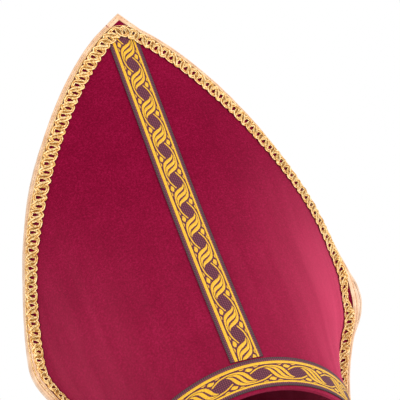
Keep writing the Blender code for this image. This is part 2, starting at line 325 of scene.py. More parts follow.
def braid_path(step, side):
    """The braid's middle line: beside the edge, and round a small arc at the peak."""
    inset = TAPE_WIDTH + GAP + BRAID_WIDTH / 2
    peak, mitre = peak_mitre()
    centre = peak + (inset + BRAID_TURN) * mitre
    stretches, angles = [], []
    for hand in (RIGHT, LEFT):
        points, inward = edge(hand, step)
        heights = points[:, 1]
        cut, cut_height, cut_half = CORNER_CUTS[hand]
        cut = cut * near(heights, cut_height, cut_half) * (side == FRONT)
        moved = points + (inset + cut - braid_lap(heights, hand) / 2)[:, None] * inward
        turn_start = centre - BRAID_TURN * inward[-1]
        keep = hand * (moved - turn_start)[:, 0] > GAP
        keep[-1] = False
        stretches.append((moved[keep], inward[keep]))
        angles.append(math.atan2(-inward[-1][1], -inward[-1][0]))
    turned = np.linspace(angles[0], angles[1], TURN_STEPS)
    outward = np.stack([np.cos(turned), np.sin(turned)], axis=1)
    right, left = stretches
    return [
        np.concatenate([one, middle, other[::-1]])
        for one, middle, other in zip(right, (centre + BRAID_TURN * outward, -outward), left)
    ]


class Line:
    """A path on the flat cloth, read by the distance along it."""

    def __init__(self, points, normals):
        steps = np.hypot(*np.diff(points, axis=0).T)
        self.marks = np.concatenate([[0.0], np.cumsum(steps)])
        self.points, self.normals = points, normals
        self.length = self.marks[-1]

    def at(self, along, inset):
        """Across and height of places at a distance along the line and an inset from it."""
        place = [np.interp(along, self.marks, self.points[:, i]) for i in (0, 1)]
        normal = [np.interp(along, self.marks, self.normals[:, i]) for i in (0, 1)]
        return place[0] + inset * normal[0], place[1] + inset * normal[1]


# ------------------------------------------------------------------------ mesh making
def grid_faces(rows, columns, wrap=False):
    """Quads between a grid of points numbered row by row; wrap joins the last column."""
    last = columns if wrap else columns - 1
    return [
        (r * columns + c, r * columns + (c + 1) % columns,
         (r + 1) * columns + (c + 1) % columns, (r + 1) * columns + c)
        for r in range(rows - 1)
        for c in range(last)
    ]


def slab_faces(rows, columns):
    """Faces of a solid between two grids of points, the second numbered after the first."""
    count = rows * columns
    top = grid_faces(rows, columns)
    under = [tuple(i + count for i in face[::-1]) for face in top]
    rim = list(range(columns))
    rim += [r * columns + columns - 1 for r in range(1, rows)]
    rim += [(rows - 1) * columns + c for c in range(columns - 2, -1, -1)]
    rim += [r * columns for r in range(rows - 2, 0, -1)]
    wall = [(b, a, a + count, b + count) for a, b in zip(rim, rim[1:] + rim[:1])]
    return top + under + wall


def tube_faces(rings, sides):
    """Faces of a closed tube through rings of points, capped at both ends."""
    caps = [tuple(range(sides)), tuple(range(rings * sides - 1, (rings - 1) * sides - 1, -1))]
    return grid_faces(rings, sides, wrap=True) + caps


def make_mesh(name, points, faces, flat=None):
    """A smooth mesh with outward faces; flat gives each point's place on the cloth as its UV."""
    mesh = bpy.data.meshes.new(name)
    mesh.from_pydata(np.asarray(points).reshape(-1, 3).tolist(), [], faces)
    if flat is not None:
        set_flat(mesh, flat)
    tidy = bmesh.new()
    tidy.from_mesh(mesh)
    bmesh.ops.recalc_face_normals(tidy, faces=tidy.faces)
    tidy.to_mesh(mesh)
    tidy.free()
    mesh.shade_smooth()
    mesh.set_sharp_from_angle(angle=SHARP_ANGLE)
    return mesh


def set_flat(mesh, flat):
    """Store each point's flat place, in metres, as the mesh's UV map."""
    layer = mesh.uv_layers.get("flat") or mesh.uv_layers.new(name="flat")
    corners = np.zeros(len(mesh.loops), np.int32)
    mesh.loops.foreach_get("vertex_index", corners)
    layer.data.foreach_set("uv", np.asarray(flat, np.float32).reshape(-1, 2)[corners].ravel())


def points_of(mesh):
    """A mesh's points as an array."""
    points = np.zeros(len(mesh.vertices) * 3, np.float32)
    mesh.vertices.foreach_get("co", points)
    return points.reshape(-1, 3).astype(float)


def set_points(mesh, points):
    """Move a mesh's points."""
    mesh.vertices.foreach_set("co", np.asarray(points, np.float32).ravel())
    mesh.update()


def lifted(mesh, lift):
    """Raise a flat-made mesh off the cloth."""
    points = points_of(mesh)
    points[:, 2] += lift
    set_points(mesh, points)
    return mesh


def show(name, mesh, finish, node=None):
    """Make the piece an object on the hat's one body; it stands for the node, if it has one."""
    piece = bpy.data.objects.new(name, mesh)
    bpy.context.scene.collection.objects.link(piece)
    if finish is not None:
        mesh.materials.clear()
        mesh.materials.append(finish)
    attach(piece, "root")
    if node:
        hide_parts(node)
    return piece


# -------------------------------------------------------------------- node trees
def tone(code):
    """An sRGB hex colour as linear red, green, blue and alpha."""
    parts = [int(code[i:i + 2], 16) / 255 for i in (1, 3, 5)]
    return [c / 12.92 if c <= 0.04045 else ((c + 0.055) / 1.055) ** 2.4 for c in parts] + [1.0]


def fill(tree, node, inputs):
    """Give each named input of a node its value, or its link from another node's output. A
    node that is given as a value stands for its first output in use."""
    for socket, value in dict(inputs).items():
        if isinstance(value, bpy.types.Node):
            value = next(output for output in value.outputs if output.enabled)
        if isinstance(value, bpy.types.NodeSocket):
            tree.links.new(value, node.inputs[socket])
        else:
            node.inputs[socket].default_value = value


def add_node(tree, kind, inputs=(), ramp=(), **settings):
    """Add a node with its settings and inputs; ramp gives places and colours along it."""
    made = tree.nodes.new(kind)
    for key, value in settings.items():
        setattr(made, key, value)
    fill(tree, made, inputs)
    if ramp:
        steps = made.color_ramp.elements
        while len(steps) < len(ramp):
            steps.new(0.5)
        for step, (place, code) in zip(steps, ramp):
            step.position = place
            step.color = tone(code)
    return made


def new_tree(name, sizes):
    """An empty Geometry Nodes tree with named inputs, each of a kind of socket."""
    tree = bpy.data.node_groups.new(name, "GeometryNodeTree")
    for size, kind in {"Geometry": "Geometry", **sizes}.items():
        tree.interface.new_socket(size, in_out="INPUT", socket_type="NodeSocket" + kind)
    tree.interface.new_socket("Geometry", in_out="OUTPUT", socket_type="NodeSocketGeometry")
    return tree, add_node(tree, "NodeGroupInput").outputs


def end_tree(tree, geometry, finish):
    """Make the instances real, give them their material and lead them out of the tree."""
    real = add_node(tree, "GeometryNodeRealizeInstances", {"Geometry": geometry})
    dressed = add_node(tree, "GeometryNodeSetMaterial", {"Geometry": real, "Material": finish})
    add_node(tree, "NodeGroupOutput", {"Geometry": dressed})
    return tree


def grow(mesh, tree, sizes):
    """Run a tree on a mesh and return what it makes as a plain mesh."""
    source = bpy.data.objects.new(mesh.name, mesh)
    modifier = source.modifiers.new("grow", "NODES")
    modifier.node_group = tree
    for socket in tree.interface.items_tree:
        if socket.in_out == "INPUT" and socket.name in sizes:
            modifier[socket.identifier] = sizes[socket.name]
    bpy.context.scene.collection.objects.link(source)
    bpy.context.view_layer.update()
    evaluated = source.evaluated_get(bpy.context.evaluated_depsgraph_get())
    made = bpy.data.meshes.new_from_object(evaluated)
    source.modifiers.clear()
    bpy.data.objects.remove(source)
    return made


def repeat_tree():
    """Copies of one flat ribbon repeat, end to end up the ribbon's length."""
    tree, given = new_tree("ribbon repeats", {
        "Repeats": "Int", "First": "Float", "Repeat Length": "Float", "Finish": "Material",
    })
    first = add_node(tree, "ShaderNodeCombineXYZ", {"Y": given["First"]})
    pitch = add_node(tree, "ShaderNodeCombineXYZ", {"Y": given["Repeat Length"]})
    places = add_node(tree, "GeometryNodeMeshLine", {
        "Count": given["Repeats"], "Start Location": first, "Offset": pitch,
    })
    copies = add_node(tree, "GeometryNodeInstanceOnPoints", {
        "Points": places, "Instance": given["Geometry"],
    })
    return end_tree(tree, copies, given["Finish"])


def cord_tree():
    """Round cords along lines of edges, which keep the length along each cord. The lines'
    "boldness" makes a cord thicker and paler."""
    tree, given = new_tree("gimp cords", {
        "Cord Radius": "Float", "Sides": "Int", "Seed": "Int", "Finish": "Material",
    })
    lines = add_node(tree, "GeometryNodeMeshToCurve", {"Mesh": given["Geometry"]})
    length = add_node(tree, "GeometryNodeSplineParameter").outputs["Length"]
    marked = add_node(tree, "GeometryNodeStoreNamedAttribute", {
        "Geometry": lines, "Name": "along", "Value": length,
    }, data_type="FLOAT", domain="POINT")
    shade = add_node(tree, "FunctionNodeRandomValue", {"Seed": given["Seed"]}, data_type="FLOAT")
    bold = add_node(tree, "GeometryNodeInputNamedAttribute", {
        "Name": "boldness",
    }, data_type="FLOAT")
    paler = add_node(tree, "ShaderNodeMath", {
        0: bold, 1: BOLD_IS_PALER, 2: shade,
    }, operation="MULTIPLY_ADD")
    shaded = add_node(tree, "GeometryNodeStoreNamedAttribute", {
        "Geometry": marked, "Name": "shade", "Value": paler,
    }, data_type="FLOAT", domain="CURVE")
    thicker = add_node(tree, "ShaderNodeMath", {0: bold, 1: 1.0}, operation="ADD")
    profile = add_node(tree, "GeometryNodeCurvePrimitiveCircle", {
        "Resolution": given["Sides"], "Radius": given["Cord Radius"],
    })
    cords = add_node(tree, "GeometryNodeCurveToMesh", {
        "Curve": shaded, "Profile Curve": profile, "Scale": thicker, "Fill Caps": True,
    })
    smoothed = add_node(tree, "GeometryNodeSetShadeSmooth", {"Geometry": cords})
    return end_tree(tree, smoothed, given["Finish"])


def stitch_tree():
    """Short thread stitches at even steps along lines of edges, each a little off true."""
    tree, given = new_tree("stitches", {
        "Stitch Step": "Float", "Stitch Length": "Float", "Thread Radius": "Float",
        "Off True": "Float", "Seed": "Int", "Finish": "Material",
    })
    lines = add_node(tree, "GeometryNodeMeshToCurve", {"Mesh": given["Geometry"]})
    points = add_node(tree, "GeometryNodeCurveToPoints", {
        "Curve": lines, "Length": given["Stitch Step"],
    }, mode="LENGTH")
    ball = add_node(tree, "GeometryNodeMeshUVSphere", {"Segments": 6, "Rings": 5, "Radius": 1.0})
    stretch = add_node(tree, "ShaderNodeCombineXYZ", {
        "X": given["Thread Radius"], "Y": given["Thread Radius"], "Z": given["Stitch Length"],
    })
    stitch = add_node(tree, "GeometryNodeTransform", {"Geometry": ball, "Scale": stretch})
    turn = add_node(tree, "FunctionNodeRandomValue", {
        "Min": (-1.0, -1.0, 0.0), "Max": (1.0, 1.0, 0.0), "Seed": given["Seed"],
    }, data_type="FLOAT_VECTOR")
    small = add_node(tree, "ShaderNodeVectorMath", {
        0: turn, "Scale": given["Off True"],
    }, operation="SCALE")
    copies = add_node(tree, "GeometryNodeInstanceOnPoints", {
        "Points": points, "Instance": stitch, "Rotation": points.outputs["Rotation"],
    })
    turned = add_node(tree, "GeometryNodeRotateInstances", {
        "Instances": copies, "Rotation": small,
    })
    return end_tree(tree, turned, given["Finish"])


# ------------------------------------------------------------------------- materials
# At scale 1 a wave texture's bands lie this far apart.
BAND_SPACING = 0.314
# The ribbon's stripes, from its middle line out: margin outside the pattern, and selvedge.
MARGIN_STARTS = 9.0 * MM
SELVEDGE_STARTS = 11.05 * MM


def new_material(name, sockets):
    """A material with a Principled shader, whose plain values are set on its sockets."""
    finish = bpy.data.materials.new(name)
    finish.use_nodes = True
    tree = finish.node_tree
    shader = tree.nodes["Principled BSDF"]
    fill(tree, shader, sockets)
    return finish, tree, shader


def crimson_felt():
    """Needled wool felt, dyed crimson: fibres lie every way, so it is matt and mottled,
    with a pink bloom of loose fibre ends where light grazes it. Painted light: a paler pink
    is mixed into the colour towards the foot and the right corner, in soft upright streaks;
    outside the braid the felt keeps its dark colour, as painted shade."""
    finish, tree, shader = new_material("crimson needled wool felt", {
        "Roughness": 0.95, "Specular IOR Level": 0.04,
        "Sheen Weight": 0.5, "Sheen Roughness": 0.4, "Sheen Tint": tone("#F06088"),
    })
    place = add_node(tree, "ShaderNodeTexCoord").outputs["Object"]
    # Tufts of fibre are 0.3 mm wide, and drawn 1.4 mm wide so that they show.
    tufts = add_node(tree, "ShaderNodeTexNoise", {
        "Vector": place, "Scale": 1 / (1.4 * MM), "Detail": 3.0, "Roughness": 0.65,
    })
    # Clouds of paler fibre are about 30 mm wide.
    clouds = add_node(tree, "ShaderNodeTexNoise", {
        "Vector": place, "Scale": 1 / (30 * MM), "Detail": 2.0, "Roughness": 0.5,
    })
    shade = add_node(tree, "ShaderNodeMix", {0: 0.2, 2: tufts, 3: clouds}, data_type="FLOAT")
    felt_tones = add_node(tree, "ShaderNodeValToRGB", {"Fac": shade}, ramp=(
        (0.30, "#55001B"), (0.50, "#680224"), (0.70, "#7E0A34"),
    ))
    flat = add_node(tree, "ShaderNodeUVMap", uv_map="flat")
    across, height, _ = add_node(tree, "ShaderNodeSeparateXYZ", {0: flat}).outputs
    out = add_node(tree, "ShaderNodeMath", {0: across}, operation="ABSOLUTE")
    # Streaks of the painted light are about 11 mm wide and 90 mm long.
    upright = add_node(tree, "ShaderNodeMapping", {
        "Vector": flat, "Scale": (1 / (11 * MM), 1 / (90 * MM), 1.0),
    })
    streaks = add_node(tree, "ShaderNodeTexNoise", {
        "Vector": upright, "Scale": 1.0, "Detail": 1.5,
    })
    inward = add_node(tree, "ShaderNodeAttribute", attribute_name="inward").outputs["Fac"]
    # Painted light: pale pink is mixed into the felt's colour low down, at both sides, more on
    # the right, and by streaks. Outside the braid the felt keeps its dark colour, as painted
    # shade under the raised edges. The columns are what counts, two places along it, and the
    # share of painted light at each.
    painted_light_share = 1.0
    for value, low, high, at_low, at_high in (
        (height, 0.07, 0.27, 1.0, 0.0),
        (out, 0.03, 0.13, 0.35, 1.0),
        (across, -0.02, 0.10, 0.17, 0.48),
        (streaks, 0.3, 0.7, 0.85, 1.15),
        (inward, 9 * MM, 13 * MM, 0.0, 1.0),
    ):
        share = add_node(tree, "ShaderNodeMapRange", {
            "Value": value, "From Min": low, "From Max": high, "To Min": at_low, "To Max": at_high,
        }, interpolation_type="SMOOTHSTEP")
        painted_light_share = add_node(tree, "ShaderNodeMath", {0: painted_light_share, 1: share}, operation="MULTIPLY")
    # The painted light's pale pink, mixed into the felt's crimson.
    felt_with_painted_light = add_node(tree, "ShaderNodeMix", {
        0: painted_light_share, 6: felt_tones, 7: tone("#D24C6E"),
    }, data_type="RGBA")
    nap = add_node(tree, "ShaderNodeBump", {
        "Height": tufts, "Strength": 0.4, "Distance": 0.3 * MM,
    })
    fill(tree, shader, {"Base Color": felt_with_painted_light, "Normal": nap})
    return finish


def satin_tape(name, shades):
    """Polyester satin bias tape, woven and pressed: long floats along the tape give a
    soft stretched highlight, and the weave a faint slanting grain."""
    finish, tree, shader = new_material(name, {
        "Roughness": 0.42, "Specular IOR Level": 0.45,
        "Sheen Weight": 0.15, "Sheen Roughness": 0.4, "Sheen Tint": tone("#FFE8D0"),
    })
    place = add_node(tree, "ShaderNodeUVMap", uv_map="flat")
    # Threads lie 0.12 mm apart, and are drawn 0.5 mm apart so that they show.
    slant = add_node(tree, "ShaderNodeMapping", {
        "Vector": place, "Rotation": (0.0, 0.0, math.radians(45)),
    })
    threads = add_node(tree, "ShaderNodeTexWave", {
        "Vector": slant, "Scale": BAND_SPACING / (0.5 * MM), "Distortion": 0.4,
    })
    # Patches of wear are about 9 mm wide.
    patches = add_node(tree, "ShaderNodeTexNoise", {
        "Vector": place, "Scale": 1 / (9 * MM), "Detail": 3.0,
    })
    satin_tones = add_node(
        tree, "ShaderNodeValToRGB", {"Fac": patches}, ramp=list(zip((0.30, 0.50, 0.70), shades))
    )
    weave = add_node(tree, "ShaderNodeBump", {
        "Height": threads.outputs["Fac"], "Strength": 0.25, "Distance": 0.1 * MM,
    })
    fill(tree, shader, {"Base Color": satin_tones, "Normal": weave})
    return finish


def gold_gimp():
    """Metallised film wound on cotton cord: each turn of the film catches the light, so
    the cord glitters pale gold, with brown gaps between the turns."""
    finish, tree, shader = new_material("gold wound gimp cord", {
        "Metallic": 0.35, "Roughness": 0.4, "Specular IOR Level": 0.5,
    })
    along = add_node(tree, "ShaderNodeAttribute", attribute_name="along").outputs["Fac"]
    # The film makes a turn every 0.35 mm, drawn every 1.1 mm so that it shows.
    turns = add_node(tree, "ShaderNodeMath", {
        0: along, 1: 2 * math.pi / (1.1 * MM),
    }, operation="MULTIPLY")
    wound = add_node(tree, "ShaderNodeMath", {0: turns}, operation="SINE")
    place = add_node(tree, "ShaderNodeTexCoord").outputs["Object"]
    # Worn spots of the film are about 1.6 mm long.
    wear = add_node(tree, "ShaderNodeTexNoise", {
        "Vector": place, "Scale": 1 / (1.6 * MM), "Detail": 2.0,
    })
    # The turns' wave is also painted into the colour: a painted highlight on each turn, and
    # painted shade in the gaps between turns.
    mixed = add_node(tree, "ShaderNodeMath", {
        0: wound, 1: 0.10, 2: wear,
    }, operation="MULTIPLY_ADD")
    # Some cords are wound with fresher, paler film than others.
    cord = add_node(tree, "ShaderNodeAttribute", attribute_name="shade").outputs["Fac"]
    tinted = add_node(tree, "ShaderNodeMath", {
        0: cord, 1: 0.36, 2: mixed,
    }, operation="MULTIPLY_ADD")
    gold_tones = add_node(tree, "ShaderNodeValToRGB", {"Fac": tinted}, ramp=(
        (0.44, "#935616"), (0.64, "#D8A244"), (0.84, "#F3DFAC"),
    ))
    relief = add_node(tree, "ShaderNodeBump", {
        "Height": wound, "Strength": 0.5, "Distance": 0.15 * MM,
    })
    fill(tree, shader, {"Base Color": gold_tones, "Normal": relief})
    return finish


def ribbon_ground():
    """The jacquard ribbon's ground weave: matt aubergine rayon with fine cross ribs, paler
    outside the pattern's border lines, and dark selvedges: dark partly from their tight weave
    and partly as painted shade along the ribbon's edges."""
    finish, tree, shader = new_material("aubergine jacquard ground", {
        "Roughness": 0.7, "Specular IOR Level": 0.3, "Sheen Weight": 0.1, "Sheen Roughness": 0.4,
    })
    place = add_node(tree, "ShaderNodeUVMap", uv_map="flat")
    # Weft and warp threads lie 0.2 mm apart, and are drawn 1.5 mm apart so that they show.
    weft, warp = (
        add_node(tree, "ShaderNodeTexWave", {
            "Vector": place, "Scale": BAND_SPACING / (1.5 * MM), "Distortion": 0.3,
        }, bands_direction=direction).outputs["Fac"]
        for direction in ("Y", "X")
    )
    crossed = add_node(tree, "ShaderNodeMath", {0: weft, 1: warp}, operation="MULTIPLY")
    across = add_node(tree, "ShaderNodeSeparateXYZ", {0: place}).outputs["X"]
    out = add_node(tree, "ShaderNodeMath", {0: across}, operation="ABSOLUTE")
    shown = add_node(tree, "ShaderNodeValToRGB", {"Fac": crossed}, ramp=(
        (0.0, "#3C1724"), (0.6, "#62263A"), (1.0, "#864458"),
    ))
    # The margin's paler tone is the ribbon's own. The selvedge's dark tone is partly its tight
    # weave and partly painted shade along the ribbon's edges.
    for starts, threads, shades in (
        (MARGIN_STARTS, crossed, ((0.0, "#3E1C2A"), (0.6, "#66303F"), (1.0, "#865062"))),
        (SELVEDGE_STARTS, weft, ((0.0, "#20171A"), (1.0, "#453636"))),
    ):
        stripe = add_node(tree, "ShaderNodeValToRGB", {"Fac": threads}, ramp=shades)
        beyond = add_node(tree, "ShaderNodeMath", {0: out, 1: starts}, operation="GREATER_THAN")
        shown = add_node(tree, "ShaderNodeMix", {
            0: beyond, 6: shown, 7: stripe,
        }, data_type="RGBA")
    relief = add_node(tree, "ShaderNodeBump", {
        "Height": crossed, "Strength": 0.5, "Distance": 0.2 * MM,
    })
    fill(tree, shader, {"Base Color": shown, "Normal": relief})
    return finish


def ribbon_floats():
    """The ribbon's pattern threads: golden-yellow rayon floats, combed side by side, which
    shine across their length and darken where they dip into the ground."""
    finish, tree, shader = new_material("golden yellow rayon floats", {
        "Roughness": 0.45, "Specular IOR Level": 0.4,
        "Sheen Weight": 0.15, "Sheen Roughness": 0.35, "Sheen Tint": tone("#FFE9A0"),
    })
    place = add_node(tree, "ShaderNodeUVMap", uv_map="flat")
    # Float threads lie 0.2 mm apart, and are drawn 0.6 mm apart so that they show.
    ribs = add_node(tree, "ShaderNodeTexWave", {
        "Vector": place, "Scale": BAND_SPACING / (0.6 * MM), "Distortion": 0.3,
    }, bands_direction="Y").outputs["Fac"]
    # The yarn's shade changes every 1.2 mm or so.
    specks = add_node(tree, "ShaderNodeTexNoise", {
        "Vector": place, "Scale": 1 / (1.2 * MM), "Detail": 2.0,
    })
    # The ribs' darker troughs are painted shade between the float threads, where they dip into the
    # ground.
    mixed = add_node(tree, "ShaderNodeMix", {0: 0.35, 2: specks, 3: ribs}, data_type="FLOAT")
    yellow = add_node(tree, "ShaderNodeValToRGB", {"Fac": mixed}, ramp=(
        (0.20, "#A06C0C"), (0.42, "#C89612"), (0.70, "#DCB222"),
    ))
    relief = add_node(tree, "ShaderNodeBump", {
        "Height": ribs, "Strength": 0.5, "Distance": 0.12 * MM,
    })
    fill(tree, shader, {"Base Color": yellow, "Normal": relief})
    return finish


def thread(name, code, shadow="#6E5A4C"):
    """Spun polyester sewing thread, softly shiny, with darker hollows between its plies."""
    finish, tree, shader = new_material(name, {"Roughness": 0.55, "Specular IOR Level": 0.3})
    place = add_node(tree, "ShaderNodeTexCoord").outputs["Object"]
    # The plies are 0.2 mm wide, and drawn 0.8 mm wide so that they show.
    plies = add_node(tree, "ShaderNodeTexNoise", {"Vector": place, "Scale": 1 / (0.8 * MM)})
    shades = add_node(
        tree, "ShaderNodeValToRGB", {"Fac": plies}, ramp=((0.35, shadow), (0.65, code))
    )
    fill(tree, shader, {"Base Color": shades})
    return finish


# ------------------------------------------------------------------------ felt panels
PANEL_COLUMNS = 150
PEAK_CROWDING = 1.15
BELOW_INNER_PEAK = 0.1 * MM


def panel_places(side):
    """Flat places of the felt's grid: rows from the cut foot up, closer towards the peak."""
    peak, mitre = peak_mitre()
    inner_peak = peak + FELT_INSET * mitre
    lines = []
    for hand in (LEFT, RIGHT):
        points, inward = edge(hand, EDGE_STEP)
        lines.append(np.append(points[:-1] + FELT_INSET * inward[:-1], [inner_peak], axis=0))
    shares = np.sin(np.linspace(-1.0, 1.0, PANEL_COLUMNS + 1) * math.pi / 2) * 0.5
    shares += np.linspace(-0.5, 0.5, PANEL_COLUMNS + 1)
    low_rows = round(CORNER_HEIGHT / CELL)
    foot_line = foot(shares, side)
    rows = [blend(foot_line, CORNER_HEIGHT, r / low_rows) for r in range(low_rows)]
    climb = np.linspace(0.0, 1.0, round((PEAK_HEIGHT - CORNER_HEIGHT) / CELL) + 1)
    top = inner_peak[1] - BELOW_INNER_PEAK
    for level in blend(CORNER_HEIGHT, top, 1 - (1 - climb) ** PEAK_CROWDING):
        rows.append(np.full_like(shares, level))
    heights = np.array(rows)
    left, right = (np.interp(heights, line[:, 1], line[:, 0]) for line in lines)
    return blend(left, right, (shares + 1.0) / 2.0), heights


def make_panel(name, side, finish):
    """A shield's felt, which keeps how far each point lies inside the edge."""
    across, heights = panel_places(side)
    faces = slab_faces(*heights.shape)
    layers = [stand(raised(across, heights, lift), side) for lift in (FELT / 2, -FELT / 2)]
    flat = np.stack([across, heights], axis=-1)
    mesh = make_mesh(name + "_felt", np.stack(layers), faces, np.stack([flat, flat]))
    inward = reach(heights) - np.abs(across)
    layer = mesh.attributes.new("inward", "FLOAT", "POINT")
    layer.data.foreach_set("value", np.stack([inward, inward]).astype(np.float32).ravel())
    return show(name + "_felt", mesh, finish, name)


# ---------------------------------------------------------------------- satin binding
# The folded tape's cut, in millimetres: inset from the fold, and lift off the felt's middle.
# From the fold inwards: a round fold, the groove that the stitches pull in, and a raised lip.
TAPE_CUT = (
    (-0.15, 0.00), (-0.02, 0.80), (0.35, 1.55), (0.95, 2.02), (1.45, 2.10), (1.75, 1.85),
    (1.90, 1.72), (2.10, 1.88), (2.60, 2.16), (3.20, 2.24), (3.75, 2.16), (4.30, 1.98),
    (4.95, 1.90), (4.96, 1.56),
)
GROOVE = 1.90 * MM
# The stitches draw the tape into puckers: how much its lips rise, and the wave's spacing for
# one radian, in millimetres. The lips stand as high as LIP off the felt's middle.
PUCKERS = ((0.08, 2.6), (0.06, 7.3))
LIP = 2 * MM
STITCH_LIFT = 1.78 * MM
STITCH_ENDS = 1.5 * MM
# The tack crosses the tape between two insets, a little slanting, and arches up.
TACK_BELOW_PEAK = 13 * MM
TACK_STARTS, TACK_ENDS = 0.6 * MM, 3.4 * MM
TACK_SLANT = 0.2
TACK_LIFT, TACK_RISE = 2.3 * MM, 0.25 * MM
TACK_POINTS = 6


def make_binding(name, side, finish):
    """Folded tape round the shield's edge, swept along it."""
    outer = np.array(TAPE_CUT) * MM
    loop = np.concatenate([outer[::-1], outer[1:] * [1, -1]])
    line = Line(*edge_path(CELL))
    stations = line.marks
    pucker = sum(rise * MM * np.sin(stations / (spacing * MM)) for rise, spacing in PUCKERS)
    inset = np.broadcast_to(loop[:, 0], (len(stations), len(loop)))
    across, heights = line.at(stations[:, None], inset)
    lift = loop[:, 1] * (1 + (pucker / LIP)[:, None])
    placed = stand(raised(across, heights, lift), side)
    flat = np.stack([inset, np.broadcast_to(stations[:, None], inset.shape)], axis=-1)
    faces = tube_faces(len(stations), len(loop))
    mesh = make_mesh(name + "_tape", placed, faces, flat)
    return show(name + "_tape", mesh, finish, name)


def edge_mesh(name, lines, boldness=None):
    """A mesh of plain edges along lines of points, for a tree to follow."""
    mesh = bpy.data.meshes.new(name)
    points = np.concatenate(lines)
    starts = np.cumsum([0] + [len(line) for line in lines])
    edges = [(i, i + 1) for a, b in zip(starts, starts[1:]) for i in range(a, b - 1)]
    mesh.from_pydata(points.tolist(), edges, [])
    if boldness:
        layer = mesh.attributes.new("boldness", "FLOAT", "POINT")
        layer.data.foreach_set("value", np.repeat(boldness, [len(line) for line in lines]))
    return mesh


def bent(mesh, side, place=None):
    """Bend a flat-made mesh onto the shield; place turns its flat points to cloth places."""
    points = points_of(mesh)
    across, heights, lift = points.T if place is None else place(points)
    set_points(mesh, stand(raised(across, heights, lift), side))
    return mesh


def make_stitches(name, side, tree, finish):
    """A row of small stitches in the binding's groove, on its outer face."""
    line = Line(*edge_path(STITCH_LINE_STEP))
    stations = np.arange(STITCH_ENDS, line.length - STITCH_ENDS, 1 * MM)
    across, heights = line.at(stations, GROOVE)
    row = np.stack([across, heights, np.full_like(across, STITCH_LIFT)], axis=1)
    mesh = grow(edge_mesh(name, [row]), tree, {
        "Stitch Step": 3.0 * MM, "Stitch Length": 1.0 * MM, "Thread Radius": 0.22 * MM,
        "Off True": 0.12, "Seed": 4, "Finish": finish,
    })
    return show(name, bent(mesh, side), None)


def make_tack(side, tree, finish):
    """One red tacking stitch left in the binding, a little below the peak on the left."""
    line = Line(*edge_path(STITCH_LINE_STEP))
    insets = np.linspace(TACK_STARTS, TACK_ENDS, TACK_POINTS)
    across, heights = line.at(line.length / 2 + TACK_BELOW_PEAK + TACK_SLANT * insets, insets)
    lift = TACK_LIFT + TACK_RISE * np.sin(np.linspace(0.0, math.pi, TACK_POINTS))
    mesh = grow(edge_mesh("tack", [np.stack([across, heights, lift], axis=1)]), tree, {
        "Cord Radius": 0.25 * MM, "Sides": 6, "Seed": 1, "Finish": finish,
    })
    return show("front_tack_stitch", bent(mesh, side), None)


# ------------------------------------------------------------------------- gold braid
BRAID_PERIOD = 14.4 * MM
BRAID_SEED = {FRONT: 11, BACK: 12}
CORDS_IN_BUNDLE = 5
LOOP_SPACING = 0.42 * MM
CROSSING_SPACING = 0.96 * MM
CORD_RADIUS = 0.37 * MM
# The middle of a bundle swings this far to each side, at the braid's widest.
WIDEST_BRAID = BRAID_WIDTH + BRAID_LAP[RIGHT]
BRAID_SWING = (WIDEST_BRAID - (CORDS_IN_BUNDLE - 1) * LOOP_SPACING) / 2 - CORD_RADIUS
# How the cords lie in a bundle: the upper one's lift at a crossing, how late they are drawn
# together, the bundle's round back, their sway, and the loops' slant along the braid.
CROSSING_LIFT = 0.75 * MM
DRAWING_IN = 1.5
BUNDLE_ROUNDING = 0.2 * MM
SWAY = 0.08 * MM
SWAYS_IN_PERIOD = 4
SLANT = -0.02
STEPS_IN_PERIOD = 30
# The single cord lies this far outside the loops, and this much higher.
EDGE_CORD_OUT = 1.9 * LOOP_SPACING
EDGE_CORD_LIFT = 0.1 * MM
# The braid rises where it laps over the binding and over the ribbon's end.
LAP_LIFT = 0.45 * MM
LAP_STARTS = 0.6 * BRAID_SWING
RIBBON_LIFT = 0.7 * MM
RIBBON_LIFT_STARTS, RIBBON_LIFT_FULL = RIBBON_WIDTH * 0.62, RIBBON_WIDTH * 0.5
# A bundle's two side cords are thicker and paler than its middle ones: the share by which
# the thickness changes, and how much of that share is added to the shade.
SIDE_CORD = 0.30
MIDDLE_CORD = -0.10
BOLD_IS_PALER = 0.9
# The front's braid is narrower below its left corner: by what share, the height of the
# middle, and how far up and down that fades.
NARROWING = 0.38
NARROW_HEIGHT = 0.098
NARROW_HALF = 0.038
# The crossings are wider where the braid is narrow, and in its turn at the peak.
NARROW_SPREADS = 0.25
TURN_SPREADS = 0.35
TURN_HALF = 20 * MM
# The two bundles of cords: where they start in the turn, and how far across they reach.
BROAD_BUNDLE = {"turn": 0.0, "reach": 0.96}
POINTED_BUNDLE = {"turn": 0.5, "reach": 1.05}
SQUARENESS = 2.6
POINTED_SQUARENESS = 1.0
POINT_SHARE = 0.25
POINT_POWER = 8


def broad_wave(angle):
    """A wave between -1 and 1 with broad round loops."""
    return np.tanh(SQUARENESS * np.sin(angle)) / math.tanh(SQUARENESS)


def pointed_wave(angle):
    """A wave between -1 and 1 with narrow pointed loops."""
    square = np.tanh(POINTED_SQUARENESS * np.sin(angle)) / math.tanh(POINTED_SQUARENESS)
    return square * (1.0 - POINT_SHARE + POINT_SHARE * np.sin(angle) ** POINT_POWER)


def above_band(across, height, side):
    """How far a place lies above the band's upper edge."""
    share = across / np.maximum(reach(height), 0.001)
    return height - foot(np.clip(share, -1, 1), side) - BAND_RISE - GAP


